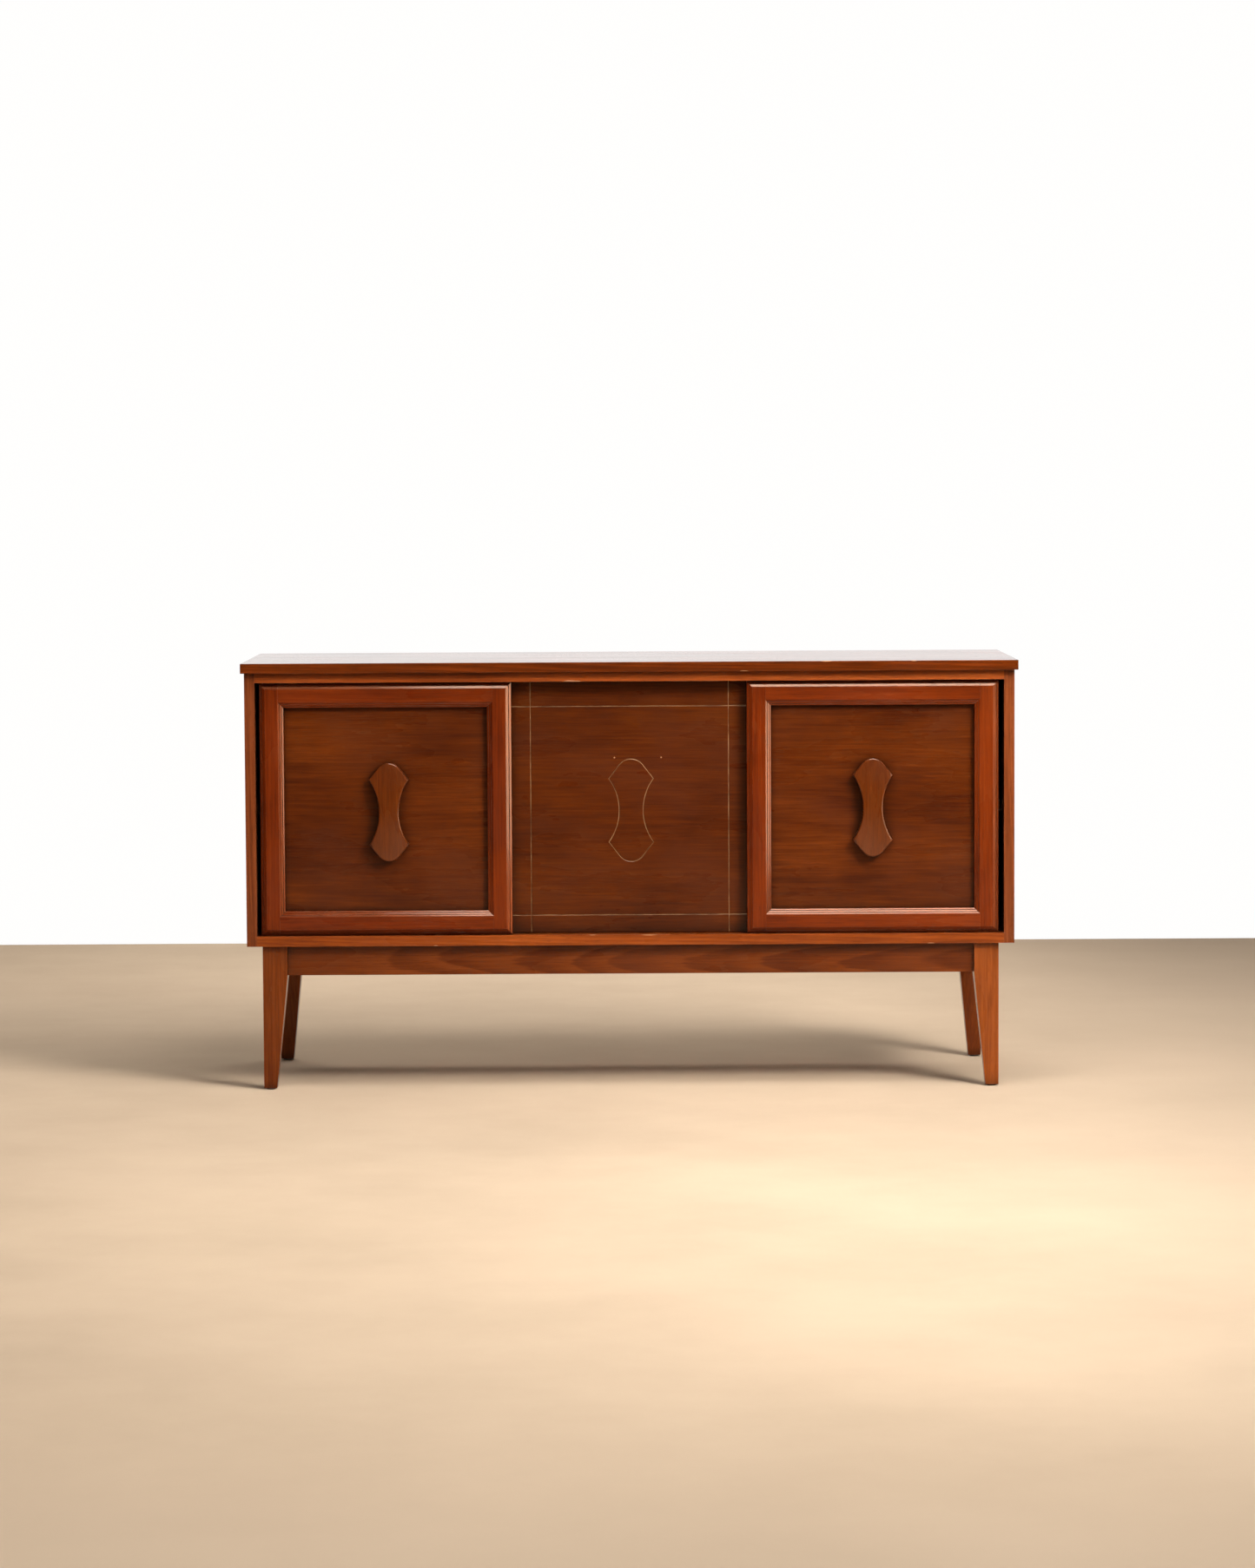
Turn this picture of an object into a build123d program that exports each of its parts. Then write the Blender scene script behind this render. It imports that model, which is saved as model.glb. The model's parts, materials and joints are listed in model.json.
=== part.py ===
from build123d import *
import math
import os

# Mid-century sideboard buffet, in millimetres.
# X runs along the front, the front faces -Y, Z is up, and the origin is on the floor
# under the middle of the top.

# Overall size
WIDTH = 1422.0
DEPTH = 457.0
HEIGHT = 787.0

# Case
TOP_THICK = 18.0
TOP_EASE = 0.7
SIDE_OVERHANG = 6.0
FRONT_OVERHANG = 14.0
BACK_OVERHANG = 2.5
BOARD = 19.0
RAIL_THICK = 18.0
CASE_BOTTOM = 266.0
BACK_THICK = 5.0
BACK_RABBET = 9.5
BACK_RAIL_HEIGHT = 40.0
PARTITION_X = 229.0
UPPER_RAIL_DEPTH = 64.5

# Shelves
SHELF_THICK = 16.0
SHELF_BOTTOM = 507.0
SHELF_FRONT_SET = 10.0
SHELF_SIDE_GAP = 1.0
SHELF_BACK_GAP = 2.0
PIN_RADIUS = 2.5
PIN_DEPTH = 8.0
PIN_PITCH = 32.0
PIN_STEPS = (-2, -1, 0, 1, 2)
PIN_ROWS_Y = (-110.0, 180.0)

# Doors
DOOR_WIDTH = 461.5
DOOR_BOTTOM_GAP = 1.0
DOOR_TOP_GAP = 2.0
FRONT_DOOR_SET = 6.0
FRONT_DOOR_THICK = 21.0
LEFT_DOOR_X = -447.75
RIGHT_DOOR_X = 445.75
FRAME_WIDTH = 44.0
DOOR_PANEL_DEPTH = 14.0
DOOR_PANEL_THICK = 5.0
DOOR_PANEL_TONGUE = 8.0
CENTRE_DOOR_SET = 31.0
CENTRE_DOOR_THICK = 17.0

# Mouldings: each strip is (near offset, its depth, far offset, its depth), where the
# offset is measured from the edge of the door, or of its panel opening, into the frame.
OUTER_STRIPS = ((10.0, 0.0, 10.0, 0.8), (9.6, 0.8, 4.8, 2.8), (3.8, 2.8, 0.0, 4.6))
OUTER_QUIRK = (3.8, 4.8, 2.8, 4.0)
INNER_STRIPS = ((9.8, 0.0, 9.8, 0.5), (9.8, 0.5, 7.2, 1.6), (6.4, 1.6, 3.2, 3.0), (2.4, 3.0, 0.0, 4.1))
INNER_QUIRKS = ((6.4, 7.2, 1.6, 2.6), (2.4, 3.2, 3.0, 4.2))

# Carved bow pulls on the front doors, and the bow scored on the centre door
PULL_HALF_WIDTH = 36.2
PULL_HALF_WAIST = 18.0
PULL_HALF_HEIGHT = 90.2
PULL_CORNER_Z = 59.7
PULL_TIP_RADIUS = 24.0
PULL_THICK = 22.0
PULL_CROWN_ACROSS = 230.0
PULL_CROWN_ALONG = 1380.0
PULL_EDGE_RADIUS = 2.0
LEFT_PULL = (5.5, 512.5)
RIGHT_PULL = (0.0, 516.5)
SCORED_HALF_WIDTH = 41.0
SCORED_HALF_WAIST = 22.0
SCORED_HALF_HEIGHT = 94.5
SCORED_CORNER_Z = 58.5
SCORED_TIP_RADIUS = 27.0
SCORED_X = 2.5
SCORED_Z = 512.0
SCORE_HALF_WIDTH = 1.1
SCORE_DEPTH = 1.2
SCORED_LINES_X = (-182.0, 182.0)
SCORED_LINES_Z = (319.0, 704.0)

# Door running gear
GUIDE_THICK = 6.0
GUIDE_LENGTH = 30.0
GUIDE_TENON = 8.0
GUIDE_RISE = 9.0
GLIDE_DROP = 3.5
GUIDE_INSET = 22.0
TOP_GROOVE_WIDTH = 8.0
TOP_GROOVE_DEPTH = 11.0
BOTTOM_GROOVE_WIDTH = 7.0
BOTTOM_GROOVE_DEPTH = 3.0

# Base
LEG_SET = 28.0
LEG_FRONT_SET = 10.0
LEG_BACK_SET = 1.0
LEG_TOP = 45.0
LEG_FOOT = 24.0
APRON_HEIGHT = 55.0
APRON_SET = 7.5
TENON_LENGTH = 18.0
TENON_THICK = 10.0
TENON_SHOULDER = 8.0
GLIDE_HEIGHT = 3.0
GLIDE_RADIUS = 9.0
GLIDE_PIN_RADIUS = 3.5
GLIDE_PIN_LENGTH = 12.0
BLOCK_REACH = 52.0
BLOCK_HEIGHT = 40.0

# Fastenings
DOWEL_LENGTH = 30.0
DOWEL_IN_SIDE = 12.0
SCREW_SLOT = 1.0
TOP_SCREWS_X = (-560.0, -150.0, 150.0, 560.0)
BACK_SCREWS_X = (-460.0, 0.0, 460.0)
BACK_SCREWS_Z = (320.0, 517.0, 700.0)

# Worked-out places
TOP_UNDER = HEIGHT - TOP_THICK
CASE_HALF = WIDTH / 2 - SIDE_OVERHANG
INNER_HALF = CASE_HALF - BOARD
CASE_FRONT = -DEPTH / 2 + FRONT_OVERHANG
CASE_BACK = DEPTH / 2 - BACK_OVERHANG
BACK_FACE = CASE_BACK - BACK_THICK
FLOOR_Z = CASE_BOTTOM + BOARD
RAIL_UNDER = TOP_UNDER - RAIL_THICK
RAIL_BACK = CASE_FRONT + UPPER_RAIL_DEPTH
DOOR_LOW = FLOOR_Z + DOOR_BOTTOM_GAP
DOOR_HIGH = RAIL_UNDER - DOOR_TOP_GAP
DOOR_HEIGHT = DOOR_HIGH - DOOR_LOW
DOOR_Z = (DOOR_LOW + DOOR_HIGH) / 2
FRONT_DOOR_Y = CASE_FRONT + FRONT_DOOR_SET
CENTRE_DOOR_Y = CASE_FRONT + CENTRE_DOOR_SET
FRONT_TRACK_Y = FRONT_DOOR_Y + 12.0
REAR_TRACK_Y = CENTRE_DOOR_Y + CENTRE_DOOR_THICK / 2
LEG_X = CASE_HALF - LEG_SET
LEG_Y = {-1: CASE_FRONT + LEG_FRONT_SET, 1: CASE_BACK - LEG_BACK_SET}
APRON_LOW = CASE_BOTTOM - APRON_HEIGHT
SIDE_NAMES = {-1: "left", 1: "right"}
END_NAMES = {-1: "front", 1: "rear"}

parts = {}


def block(x, y, z):
    """Box from its low and high bound along each axis."""
    centre = [(low + high) / 2 for low, high in (x, y, z)]
    size = [high - low for low, high in (x, y, z)]
    return Pos(*centre) * Box(*size)


def mirrored(span, sign):
    """The span given for the +X side, on the side that sign names."""
    return span if sign > 0 else (-span[1], -span[0])


def rod(radius, start, direction, length):
    """Round rod that begins at start and runs along direction."""
    plane = Plane(origin=start, z_dir=direction)
    return extrude(plane * Circle(radius), amount=length)


def wood_screw(start, direction, length, shank, head, head_height):
    """Slotted screw: start is under the head, and direction is the way it goes in."""
    outward = [-value for value in direction]
    top = [value + step * head_height for value, step in zip(start, outward)]
    slot = Plane(origin=top, z_dir=direction) * Box(2.2 * head, SCREW_SLOT, 0.8 * head_height)
    return rod(shank, start, direction, length) + rod(head, start, outward, head_height) - slot


def compound(solids):
    """Separate like pieces kept together in one node."""
    return Compound(children=solids)


def cut_all(shape, tools):
    """The shape with each tool cut from it."""
    for tool in tools:
        shape -= tool
    return shape


# --- Fastenings of the case, made first because the boards are bored for them ---

def make_dowels():
    """Dowels between the two sides and the bottom, the upper rail and the back rail."""
    places = [(y, FLOOR_Z - BOARD / 2, 4.0) for y in (-180.0, -60.0, 60.0, 180.0)]
    places += [(CASE_FRONT + 7.0, TOP_UNDER - 9.0, 3.0), (RAIL_BACK - 10.0, TOP_UNDER - 9.0, 4.0)]
    places += [(BACK_FACE - BOARD / 2, TOP_UNDER - drop, 4.0) for drop in (11.0, 29.0)]
    dowels = []
    for sign in (-1, 1):
        x_end = sign * (INNER_HALF + DOWEL_IN_SIDE)
        for y, z, radius in places:
            dowels.append(rod(radius, (x_end, y, z), (-sign, 0, 0), DOWEL_LENGTH))
    return dowels


def make_top_screws():
    """Screws driven up through the two upper rails into the top."""
    front = (RAIL_BACK - 10.0, RAIL_UNDER, 28.0)
    back = (BACK_FACE - BOARD / 2, TOP_UNDER - BACK_RAIL_HEIGHT, 50.0)
    return [
        wood_screw((x, y, under), (0, 0, 1), length, 2.0, 4.0, 2.2)
        for y, under, length in (front, back)
        for x in TOP_SCREWS_X
    ]


def make_back_screws():
    """Round-headed screws that hold the back panel to every board behind it."""
    edge_x = INNER_HALF + BACK_RABBET / 2
    columns = (-edge_x, -PARTITION_X, PARTITION_X, edge_x)
    places = [(x, z) for x in columns for z in BACK_SCREWS_Z]
    places += [(x, z) for x in BACK_SCREWS_X for z in (FLOOR_Z - BOARD / 2, TOP_UNDER - 20.0)]
    return [wood_screw((x, CASE_BACK, z), (0, -1, 0), 14.0, 1.6, 3.5, 1.8) for x, z in places]


def pin_faces():
    """Each bored face: its place along X and the way into the wood."""
    partition_half = BOARD / 2
    faces = [(-INNER_HALF, -1), (INNER_HALF, 1)]
    for sign in (-1, 1):
        faces.append((sign * PARTITION_X - partition_half, 1))
        faces.append((sign * PARTITION_X + partition_half, -1))
    return faces


def make_pin_bores():
    """Rows of shelf-pin holes in every face that a shelf can hang on."""
    used_z = SHELF_BOTTOM - PIN_RADIUS
    return [
        rod(PIN_RADIUS, (x, y, used_z + step * PIN_PITCH), (way, 0, 0), PIN_DEPTH)
        for x, way in pin_faces()
        for y in PIN_ROWS_Y
        for step in PIN_STEPS
    ]


def make_pins():
    """One pin under each shelf corner, half in its hole and half under the shelf."""
    used_z = SHELF_BOTTOM - PIN_RADIUS
    return [
        rod(PIN_RADIUS, (x + way * PIN_DEPTH, y, used_z), (-way, 0, 0), 2 * PIN_DEPTH)
        for x, way in pin_faces()
        for y in PIN_ROWS_Y
    ]


def near(tools, x_low, x_high):
    """The tools whose middle lies between two places along X."""
    return [tool for tool in tools if x_low < tool.center().X < x_high]


dowels = make_dowels()
top_screws = make_top_screws()
back_screws = make_back_screws()
pin_bores = make_pin_bores()


# --- Case ---

def make_top():
    """Overhanging top board with eased edges."""
    top = block((-WIDTH / 2, WIDTH / 2), (-DEPTH / 2, DEPTH / 2), (TOP_UNDER, HEIGHT))
    top = fillet(top.edges(), TOP_EASE)
    return cut_all(top, top_screws)


def make_side(sign):
    """Side board, rabbeted behind for the back panel."""
    side = block(mirrored((INNER_HALF, CASE_HALF), sign), (CASE_FRONT, CASE_BACK), (CASE_BOTTOM, TOP_UNDER))
    rabbet_x = mirrored((INNER_HALF, INNER_HALF + BACK_RABBET), sign)
    side -= block(rabbet_x, (BACK_FACE, CASE_BACK), (CASE_BOTTOM, TOP_UNDER))
    bores = near(pin_bores, *mirrored((INNER_HALF, CASE_HALF), sign))
    return cut_all(side, dowels + back_screws + bores)


def make_bottom():
    """Bottom board with the two lower grooves that the doors run in."""
    bottom = block((-INNER_HALF, INNER_HALF), (CASE_FRONT, BACK_FACE), (CASE_BOTTOM, FLOOR_Z))
    for track_y in (FRONT_TRACK_Y, REAR_TRACK_Y):
        groove_y = (track_y - BOTTOM_GROOVE_WIDTH / 2, track_y + BOTTOM_GROOVE_WIDTH / 2)
        bottom -= block((-INNER_HALF, INNER_HALF), groove_y, (FLOOR_Z - BOTTOM_GROOVE_DEPTH, FLOOR_Z))
    return bottom


def make_upper_rail():
    """Front rail under the top, with the two upper grooves."""
    rail = block((-INNER_HALF, INNER_HALF), (CASE_FRONT, RAIL_BACK), (RAIL_UNDER, TOP_UNDER))
    for track_y in (FRONT_TRACK_Y, REAR_TRACK_Y):
        groove_y = (track_y - TOP_GROOVE_WIDTH / 2, track_y + TOP_GROOVE_WIDTH / 2)
        rail -= block((-INNER_HALF, INNER_HALF), groove_y, (RAIL_UNDER, RAIL_UNDER + TOP_GROOVE_DEPTH))
    return rail


def make_partition(sign):
    """Upright between two bays, notched round the back rail."""
    x = (sign * PARTITION_X - BOARD / 2, sign * PARTITION_X + BOARD / 2)
    upright = block(x, (RAIL_BACK, BACK_FACE), (FLOOR_Z, TOP_UNDER))
    upright -= block(x, (BACK_FACE - BOARD, BACK_FACE), (TOP_UNDER - BACK_RAIL_HEIGHT, TOP_UNDER))
    return cut_all(upright, back_screws + near(pin_bores, *x))


def make_shelf(x_low, x_high):
    """Loose shelf on its pins."""
    x = (x_low + SHELF_SIDE_GAP, x_high - SHELF_SIDE_GAP)
    y = (RAIL_BACK + SHELF_FRONT_SET, BACK_FACE - SHELF_BACK_GAP)
    return block(x, y, (SHELF_BOTTOM, SHELF_BOTTOM + SHELF_THICK))


parts["top_panel"] = make_top()
for side_sign, side_name in SIDE_NAMES.items():
    parts[f"side_panel_{side_name}"] = make_side(side_sign)
    parts[f"partition_{side_name}"] = make_partition(side_sign)

upper_rail = make_upper_rail()
back_rail_z = (TOP_UNDER - BACK_RAIL_HEIGHT, TOP_UNDER)
back_rail = block((-INNER_HALF, INNER_HALF), (BACK_FACE - BOARD, BACK_FACE), back_rail_z)
back_x = (-INNER_HALF - BACK_RABBET, INNER_HALF + BACK_RABBET)
back_panel = block(back_x, (BACK_FACE, CASE_BACK), (CASE_BOTTOM, TOP_UNDER))
parts["upper_track_rail"] = cut_all(upper_rail, dowels + top_screws)
parts["upper_back_rail"] = cut_all(back_rail, dowels + top_screws + back_screws)
parts["back_panel"] = cut_all(back_panel, back_screws)

bay_edge = PARTITION_X + BOARD / 2
parts["shelf_left"] = make_shelf(-INNER_HALF, -bay_edge)
parts["shelf_centre"] = make_shelf(-bay_edge + BOARD, bay_edge - BOARD)
parts["shelf_right"] = make_shelf(bay_edge, INNER_HALF)
parts["shelf_pins"] = compound(make_pins())
parts["case_dowels"] = compound(dowels)
parts["top_screws"] = compound(top_screws)
parts["back_panel_screws"] = compound(back_screws)


# --- Base ---

def taper_profile(outer, inward, plane):
    """Leg seen from one side: straight outside, and tapered inside below the apron."""
    points = [
        (outer, CASE_BOTTOM),
        (outer + inward * LEG_TOP, CASE_BOTTOM),
        (outer + inward * LEG_TOP, APRON_LOW),
        (outer + inward * LEG_FOOT, GLIDE_HEIGHT),
        (outer, GLIDE_HEIGHT),
    ]
    return plane * make_face(Polyline(*points, close=True))


def make_leg(sign, end):
    """Square leg, tapered on its two inner faces."""
    outer_x = sign * LEG_X
    front_view = extrude(taper_profile(outer_x, -sign, Plane.XZ), amount=DEPTH, both=True)
    side_view = extrude(taper_profile(LEG_Y[end], -end, Plane.YZ), amount=WIDTH, both=True)
    return front_view & side_view


def foot_centre(sign, end):
    """Middle of the leg's foot."""
    return sign * (LEG_X - LEG_FOOT / 2), LEG_Y[end] - end * LEG_FOOT / 2


def make_glide(sign, end):
    """Round glide with a pin that goes up into the leg."""
    x, y = foot_centre(sign, end)
    disc = Pos(x, y, GLIDE_HEIGHT / 2) * Cylinder(GLIDE_RADIUS, GLIDE_HEIGHT)
    disc = fillet(disc.edges().group_by(Axis.Z)[0], 1.0)
    return disc + rod(GLIDE_PIN_RADIUS, (x, y, GLIDE_HEIGHT), (0, 0, 1), GLIDE_PIN_LENGTH)


def apron_span(outer, inward):
    """Low and high bound of an apron's thickness, set in from a leg's outer face."""
    near_face = outer + inward * APRON_SET
    return sorted((near_face, near_face + inward * BOARD))


def tenon_span(span):
    """Low and high bound of a tenon in the middle of an apron's thickness."""
    middle = sum(span) / 2
    return middle - TENON_THICK / 2, middle + TENON_THICK / 2


def make_cross_apron(end):
    """Front or rear apron, with a tenon into the leg at each end."""
    reach = LEG_X - LEG_TOP
    y = apron_span(LEG_Y[end], -end)
    apron = block((-reach, reach), y, (APRON_LOW, CASE_BOTTOM))
    tenon_z = (APRON_LOW + TENON_SHOULDER, CASE_BOTTOM - TENON_SHOULDER)
    return apron + block((-reach - TENON_LENGTH, reach + TENON_LENGTH), tenon_span(y), tenon_z)


def make_side_apron(sign):
    """Side apron, with a tenon into the leg at each end."""
    x = apron_span(sign * LEG_X, -sign)
    low = LEG_Y[-1] + LEG_TOP
    high = LEG_Y[1] - LEG_TOP
    apron = block(x, (low, high), (APRON_LOW, CASE_BOTTOM))
    tenon_z = (APRON_LOW + TENON_SHOULDER, CASE_BOTTOM - TENON_SHOULDER)
    return apron + block(tenon_span(x), (low - TENON_LENGTH, high + TENON_LENGTH), tenon_z)


def make_corner_block(sign, end):
    """Glued block in the corner of two aprons, cut out round the leg."""
    leg_x = LEG_X - LEG_TOP
    leg_y = LEG_Y[end] - end * LEG_TOP
    apron_x = LEG_X - APRON_SET - BOARD
    apron_y = LEG_Y[end] - end * (APRON_SET + BOARD)
    points = [
        (leg_x - BLOCK_REACH, apron_y),
        (leg_x, apron_y),
        (leg_x, leg_y),
        (apron_x, leg_y),
        (apron_x, leg_y - end * BLOCK_REACH),
    ]
    outline = make_face(Polyline(*[(sign * x, y) for x, y in points], close=True))
    return extrude(Pos(0, 0, CASE_BOTTOM - BLOCK_HEIGHT) * outline, amount=BLOCK_HEIGHT, dir=(0, 0, 1))


def make_base_screw(sign, end):
    """Screw up through a corner block into the bottom board."""
    x = sign * (LEG_X - LEG_TOP - 8.0)
    y = LEG_Y[end] - end * (LEG_TOP + 9.5)
    return wood_screw((x, y, CASE_BOTTOM - BLOCK_HEIGHT), (0, 0, 1), 52.0, 2.2, 4.5, 2.4)


cross_aprons = {end: make_cross_apron(end) for end in END_NAMES}
side_aprons = {sign: make_side_apron(sign) for sign in SIDE_NAMES}
base_screws = []
for leg_end, end_name in END_NAMES.items():
    parts[f"apron_{end_name}"] = cross_aprons[leg_end]
    for side_sign, side_name in SIDE_NAMES.items():
        glide = make_glide(side_sign, leg_end)
        base_screw = make_base_screw(side_sign, leg_end)
        leg = make_leg(side_sign, leg_end) - cross_aprons[leg_end] - side_aprons[side_sign] - glide
        parts[f"leg_{end_name}_{side_name}"] = leg
        parts[f"leg_glide_{end_name}_{side_name}"] = glide
        parts[f"corner_block_{end_name}_{side_name}"] = make_corner_block(side_sign, leg_end) - base_screw
        base_screws.append(base_screw)
for side_sign, side_name in SIDE_NAMES.items():
    parts[f"apron_{side_name}"] = side_aprons[side_sign]
parts["base_screws"] = compound(base_screws)
parts["bottom_panel"] = cut_all(make_bottom(), dowels + back_screws + base_screws)


# --- Doors: drawn about the door's middle, with depth measured back from its front face ---

def frustum(width, height, depth, far_width, far_height, far_depth):
    """Solid between two centred rectangles at two depths."""
    front = Plane.XZ.offset(-depth) * Rectangle(width, height)
    back = Plane.XZ.offset(-far_depth) * Rectangle(far_width, far_height)
    if (width, height) == (far_width, far_height):
        return extrude(front, amount=far_depth - depth, dir=(0, 1, 0))
    return loft([front, back], ruled=True)


def slab(width, height, depth, far_depth):
    """Centred rectangle between two depths."""
    return frustum(width, height, depth, width, height, far_depth)


def ring(width, height, inner, outer, depth, far_depth):
    """Rectangular groove whose sides lie inner and outer beyond a rectangle."""
    groove = slab(width + 2 * outer, height + 2 * outer, depth, far_depth)
    return groove - slab(width + 2 * inner, height + 2 * inner, depth, far_depth)


def make_frame():
    """Whole moulded door frame, before it is parted into stiles and rails."""
    w = DOOR_WIDTH
    h = DOOR_HEIGHT
    frame = slab(w, h, OUTER_STRIPS[-1][3], FRONT_DOOR_THICK)
    for near_in, depth, far_in, far_depth in OUTER_STRIPS:
        frame += frustum(w - 2 * near_in, h - 2 * near_in, depth, w - 2 * far_in, h - 2 * far_in, far_depth)
    inner, outer, depth, far_depth = OUTER_QUIRK
    frame -= ring(w, h, -outer, -inner, depth, far_depth)
    opening_w = w - 2 * FRAME_WIDTH
    opening_h = h - 2 * FRAME_WIDTH
    frame -= slab(opening_w, opening_h, 0, FRONT_DOOR_THICK)
    for near_out, depth, far_out, far_depth in INNER_STRIPS:
        near_size = (opening_w + 2 * near_out, opening_h + 2 * near_out)
        far_size = (opening_w + 2 * far_out, opening_h + 2 * far_out)
        frame -= frustum(*near_size, depth, *far_size, far_depth)
    for inner, outer, depth, far_depth in INNER_QUIRKS:
        frame -= ring(opening_w, opening_h, inner, outer, depth, far_depth)
    tongue_w = opening_w + 2 * DOOR_PANEL_TONGUE
    tongue_h = opening_h + 2 * DOOR_PANEL_TONGUE
    frame -= slab(tongue_w, tongue_h, DOOR_PANEL_DEPTH, DOOR_PANEL_DEPTH + DOOR_PANEL_THICK)
    return frame


def stile_region(sign):
    """Full-height stile, mitred only where the inner moulding turns the corner."""
    inner_x = DOOR_WIDTH / 2 - FRAME_WIDTH
    inner_z = DOOR_HEIGHT / 2 - FRAME_WIDTH
    mould = INNER_STRIPS[0][0]
    upper = [(inner_x, inner_z), (inner_x + mould, inner_z + mould), (inner_x + mould, DOOR_HEIGHT / 2)]
    upper.append((DOOR_WIDTH / 2, DOOR_HEIGHT / 2))
    points = upper + [(x, -z) for x, z in reversed(upper)]
    outline = make_face(Polyline(*[(sign * x, z) for x, z in points], close=True))
    return extrude(Plane.XZ * outline, amount=FRONT_DOOR_THICK, dir=(0, 1, 0))


def make_runners(thick, edge_z, rise):
    """Two nylon runners let into a door edge; rise is up for guides, down for glides."""
    low, high = sorted((edge_z - math.copysign(GUIDE_TENON, rise), edge_z + rise))
    y = (thick - GUIDE_THICK / 2, thick + GUIDE_THICK / 2)
    runners = []
    for sign in (-1, 1):
        middle = sign * (DOOR_WIDTH / 2 - GUIDE_INSET)
        runners.append(block((middle - GUIDE_LENGTH / 2, middle + GUIDE_LENGTH / 2), y, (low, high)))
    return runners


def bow_face(half_width, half_waist, half_height, corner_z, tip_radius):
    """Bow outline: arched ends, straight flanks down to four points, hollow sides."""
    arch_z = half_height - tip_radius
    reach = math.hypot(half_width, corner_z - arch_z)
    turn = math.atan2(corner_z - arch_z, half_width) + math.acos(tip_radius / reach)
    shoulder = (tip_radius * math.cos(turn), arch_z + tip_radius * math.sin(turn))
    outline = ThreePointArc((half_width, -corner_z), (half_waist, 0), (half_width, corner_z))
    outline += ThreePointArc((-half_width, -corner_z), (-half_waist, 0), (-half_width, corner_z))
    for sign in (-1, 1):
        left = (-shoulder[0], sign * shoulder[1])
        right = (shoulder[0], sign * shoulder[1])
        outline += Line((-half_width, sign * corner_z), left)
        outline += Line((half_width, sign * corner_z), right)
        outline += ThreePointArc(left, (0, sign * half_height), right)
    return make_face(outline)


def make_pull():
    """Bow pull with a gently crowned face; its back lies at depth 0."""
    outline = bow_face(PULL_HALF_WIDTH, PULL_HALF_WAIST, PULL_HALF_HEIGHT, PULL_CORNER_Z, PULL_TIP_RADIUS)
    pull = extrude(Plane.XZ * outline, amount=PULL_THICK)
    crown = Torus(PULL_CROWN_ALONG - PULL_CROWN_ACROSS, PULL_CROWN_ACROSS)
    pull &= Pos(0, PULL_CROWN_ALONG - PULL_THICK, 0) * Rot(0, 90, 0) * crown
    face = pull.faces().sort_by(Axis.Y)[0]
    return fillet(face.edges(), PULL_EDGE_RADIUS)


def make_pull_screws(pull_x, pull_z):
    """Screws through the door panel into the back of the pull."""
    depth = DOOR_PANEL_DEPTH + DOOR_PANEL_THICK
    places = [(pull_x, depth, pull_z - DOOR_Z + rise) for rise in (-48.0, 48.0)]
    return [wood_screw(place, (0, -1, 0), 17.0, 2.0, 4.0, 2.2) for place in places]


def make_front_door(name, door_x, outer_sign, pull_place):
    """Framed door with its panel, pull, screws, guides and glides."""
    place = Pos(door_x, FRONT_DOOR_Y, DOOR_Z)
    pull_x, pull_z = pull_place
    track = FRONT_TRACK_Y - FRONT_DOOR_Y
    guides = make_runners(track, DOOR_HEIGHT / 2, GUIDE_RISE)
    glides = make_runners(track, -DOOR_HEIGHT / 2, -GLIDE_DROP)
    frame = cut_all(make_frame(), guides + glides)
    stiles = {sign: stile_region(sign) for sign in SIDE_NAMES}
    rails = frame - stiles[-1] - stiles[1]
    bottom_rail, top_rail = rails.solids().sort_by(Axis.Z)
    screws = make_pull_screws(pull_x, pull_z)
    panel_w = DOOR_WIDTH - 2 * FRAME_WIDTH + 2 * DOOR_PANEL_TONGUE
    panel_h = DOOR_HEIGHT - 2 * FRAME_WIDTH + 2 * DOOR_PANEL_TONGUE
    panel = slab(panel_w, panel_h, DOOR_PANEL_DEPTH, DOOR_PANEL_DEPTH + DOOR_PANEL_THICK)
    pull = Pos(pull_x, DOOR_PANEL_DEPTH, pull_z - DOOR_Z) * make_pull()
    pieces = {
        "stile_outer": frame & stiles[outer_sign],
        "stile_inner": frame & stiles[-outer_sign],
        "rail_top": top_rail,
        "rail_bottom": bottom_rail,
        "panel": cut_all(panel, screws),
        "pull": cut_all(pull, screws),
        "pull_screws": compound(screws),
        "top_guides": compound(guides),
        "bottom_glides": compound(glides),
    }
    for piece, shape in pieces.items():
        parts[f"{name}_{piece}"] = place * shape


def score(start, end):
    """V-shaped line scored in the centre door's face, from start to end in X and Z."""
    along_x = start[1] == end[1]
    length = (end[0] - start[0]) if along_x else (end[1] - start[1])
    points = [(-SCORE_HALF_WIDTH, 0), (SCORE_HALF_WIDTH, 0), (0, SCORE_DEPTH)]
    if along_x:
        plane = Plane(origin=(start[0], 0, start[1]), x_dir=(0, 0, -1), z_dir=(1, 0, 0))
    else:
        plane = Plane(origin=(start[0], 0, start[1]), x_dir=(1, 0, 0), z_dir=(0, 0, 1))
    return extrude(plane * make_face(Polyline(*points, close=True)), amount=length)


def scored_bow():
    """V-shaped line scored along the bow outline."""
    outline = bow_face(SCORED_HALF_WIDTH, SCORED_HALF_WAIST, SCORED_HALF_HEIGHT, SCORED_CORNER_Z, SCORED_TIP_RADIUS)
    outer = Plane.XZ * offset(outline, SCORE_HALF_WIDTH, kind=Kind.INTERSECTION)
    middle = Plane.XZ.offset(-SCORE_DEPTH) * outline
    inner = Plane.XZ * offset(outline, -SCORE_HALF_WIDTH, kind=Kind.INTERSECTION)
    return loft([outer, middle], ruled=True) - loft([inner, middle], ruled=True)


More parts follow.
